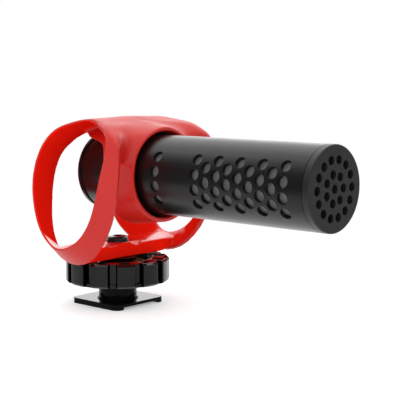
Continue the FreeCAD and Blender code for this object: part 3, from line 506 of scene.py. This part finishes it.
def mesh_weave(name, axis_z):
    """Woven wire: two sets of threads round the tube, on the diagonal."""
    material, tree, shader = new_material(name)
    _, (x, y, z) = place(tree)
    rise = maths(tree, "SUBTRACT", z, axis_z)
    angle = maths(tree, "ARCTAN2", y, rise)
    round_tube = maths(tree, "MULTIPLY", angle, WEAVE_ROUND)
    pitch = 2 * math.pi / WEAVE_PITCH
    first = maths(tree, "SINE", maths(tree, "MULTIPLY", maths(tree, "ADD", x, round_tube), pitch))
    second = maths(tree, "SINE", maths(tree, "MULTIPLY", maths(tree, "SUBTRACT", x, round_tube), pitch))
    threads = maths(tree, "MAXIMUM", first, second)
    share = ranged(tree, threads, *WEAVE_EDGE, 0.0, 1.0)
    tone = blend(tree, share, *[linear(*grey) for grey in WEAVE_TONES])
    tree.links.new(tone, shader.inputs["Base Color"])
    shader.inputs["Metallic"].default_value = WEAVE_METALLIC
    shader.inputs["Roughness"].default_value = WEAVE_ROUGH
    bump(tree, shader, threads, WEAVE_DEPTH)
    return material


def make_camera():
    """Camera of the photograph."""
    azimuth, elevation = math.radians(CAMERA_AZIMUTH), math.radians(CAMERA_ELEVATION)
    back = Vector((math.sin(azimuth) * math.cos(elevation), -math.cos(azimuth) * math.cos(elevation),
                   math.sin(elevation)))
    right = Vector((math.cos(azimuth), math.sin(azimuth), 0))
    up = back.cross(right)
    turn = Matrix((right, up, back)).transposed() @ Matrix.Rotation(math.radians(CAMERA_ROLL), 3, "Z")
    data = bpy.data.cameras.new("camera")
    data.sensor_width = SENSOR
    data.lens = FOCAL_PIXELS / FRAME_PIXELS * SENSOR
    data.clip_start = CLIP_START
    camera = bpy.data.objects.new("camera", data)
    camera.matrix_world = Matrix.Translation(CAMERA_PLACE) @ turn.to_4x4()
    bpy.context.scene.collection.objects.link(camera)
    bpy.context.scene.camera = camera


def facing(tree, direction, turn):
    """Cosine between a direction and a level one, which is turned from +X by an angle in degrees."""
    node = tree.nodes.new("ShaderNodeVectorMath")
    node.operation = "DOT_PRODUCT"
    node.inputs[1].default_value = (math.cos(math.radians(turn)), math.sin(math.radians(turn)), 0)
    tree.links.new(direction, node.inputs[0])
    return node.outputs["Value"]


def make_world():
    """White to the camera, a fill by height for matt surfaces, and a studio for shiny ones."""
    world = bpy.data.worlds.new("studio")
    world.use_nodes = True
    tree = world.node_tree
    tree.nodes.clear()
    direction = tree.nodes.new("ShaderNodeTexCoord").outputs["Generated"]
    parts = tree.nodes.new("ShaderNodeSeparateXYZ")
    tree.links.new(direction, parts.inputs[0])
    height = parts.outputs["Z"]
    ahead = facing(tree, direction, CAMERA_AZIMUTH - 90)
    front = ranged(tree, ahead, *FRONT_EDGE, MIRROR_SIDE, MIRROR_FRONT)
    side = ranged(tree, ahead, *BACK_EDGE, MIRROR_BACK, front)
    for degrees, level in DARK_PANELS:
        panel = ranged(tree, facing(tree, direction, degrees), *PANEL_EDGE, 1.0, level)
        side = maths(tree, "MULTIPLY", side, panel)
    opposite = ranged(tree, ahead, *GLARE_EDGE, 1.0, 0.0)
    band = maths(tree, "MULTIPLY", ranged(tree, height, *GLARE_LOW, 0.0, 1.0),
                 ranged(tree, height, *GLARE_HIGH, 1.0, 0.0))
    glare = maths(tree, "MULTIPLY", opposite, band)
    side = maths(tree, "MULTIPLY", side, maths(tree, "MULTIPLY_ADD", glare, GLARE_EXTRA, 1.0))
    below = ranged(tree, height, *BELOW_EDGE, MIRROR_BELOW, 0.0)
    overhead = ranged(tree, parts.outputs["Y"], *OVERHEAD_EDGE, OVERHEAD_NEAR, 1.0)
    above = maths(tree, "MULTIPLY", ranged(tree, height, *ABOVE_EDGE, 0.0, MIRROR_TOP), overhead)
    level = maths(tree, "MAXIMUM", maths(tree, "MAXIMUM", side, below), above)
    path = tree.nodes.new("ShaderNodeLightPath")
    fill = ranged(tree, height, *FILL_EDGE, FILL_SIDE, FILL_TOP)
    shown = blend_value(tree, path.outputs["Is Glossy Ray"], fill, level)
    strength = blend_value(tree, path.outputs["Is Camera Ray"], shown, 1.0)
    light = tree.nodes.new("ShaderNodeBackground")
    tree.links.new(strength, light.inputs["Strength"])
    output = tree.nodes.new("ShaderNodeOutputWorld")
    tree.links.new(light.outputs[0], output.inputs["Surface"])
    light.inputs["Color"].default_value = WHITE
    bpy.context.scene.world = world


def make_lights():
    """One large softbox overhead. Shiny surfaces see the world's overhead level in its place."""
    data = bpy.data.lights.new("softbox", "AREA")
    data.shape = "SQUARE"
    data.size = SOFTBOX_SIZE
    data.energy = SOFTBOX_WATTS
    lamp = bpy.data.objects.new("softbox", data)
    lamp.location = SOFTBOX_PLACE
    lamp.visible_glossy = False
    bpy.context.scene.collection.objects.link(lamp)


def make_floor():
    """Pale floor under the foot that fades into the background."""
    mesh = bpy.data.meshes.new("floor")
    angles = [2 * math.pi * k / FLOOR_SIDES for k in range(FLOOR_SIDES)]
    rim = [(FLOOR_RADIUS * math.cos(angle), FLOOR_RADIUS * math.sin(angle), 0) for angle in angles]
    mesh.from_pydata(rim, [], [list(range(FLOOR_SIDES))])
    floor = bpy.data.objects.new("floor", mesh)
    floor.location.z = FLOOR_DROP
    bpy.context.scene.collection.objects.link(floor)
    material, tree, shader = new_material("floor")
    shader.inputs["Base Color"].default_value = FLOOR_COLOUR + (1.0,)
    shader.inputs["Roughness"].default_value = FLOOR_ROUGH
    shader.inputs["Specular IOR Level"].default_value = 0.0
    path = tree.nodes.new("ShaderNodeLightPath")
    shader.inputs["Emission Color"].default_value = WHITE
    lift = maths(tree, "MULTIPLY", path.outputs["Is Camera Ray"], FLOOR_LIFT)
    tree.links.new(lift, shader.inputs["Emission Strength"])
    where, _ = place(tree)
    reach = tree.nodes.new("ShaderNodeVectorMath")
    reach.operation = "LENGTH"
    tree.links.new(where, reach.inputs[0])
    edge = FLOOR_RADIUS / MM
    fade = ranged(tree, reach.outputs["Value"], edge * FLOOR_FADE, edge, 1.0, 0.0)
    seen = blend_value(tree, path.outputs["Is Glossy Ray"], 1.0, FLOOR_MIRROR)
    tree.links.new(maths(tree, "MULTIPLY", fade, seen), shader.inputs["Alpha"])
    mesh.materials.append(material)


def main():
    make_camera()
    make_world()
    make_lights()
    make_floor()
    tube_low, tube_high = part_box("mic_tube")
    axis_z = (tube_low.z + tube_high.z) / 2 / MM
    seams = (tube_high.x / MM, tube_low.x / MM)
    red = red_finishes_painted_light()
    dress(red, "suspension_mount")
    skin = moulded_skin("suspension_mount")
    skin.data.materials.clear()
    skin.data.materials.append(red)
    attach(skin, "mount")
    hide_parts("suspension_mount")
    dress(ring_gloss_painted_shade("black_ring_painted_shade"), "lock_ring")
    dress(mesh_weave("steel_mesh", axis_z), "front_mesh", "port_mesh")
    for name, srgb, rough, more, nodes in FINISHES:
        ends = seams if name in SEAMED else ()
        dress(moulded(name, srgb, rough, seams=ends, **more), *nodes)
    view = bpy.context.scene.view_settings
    view.view_transform = "Standard"


main()
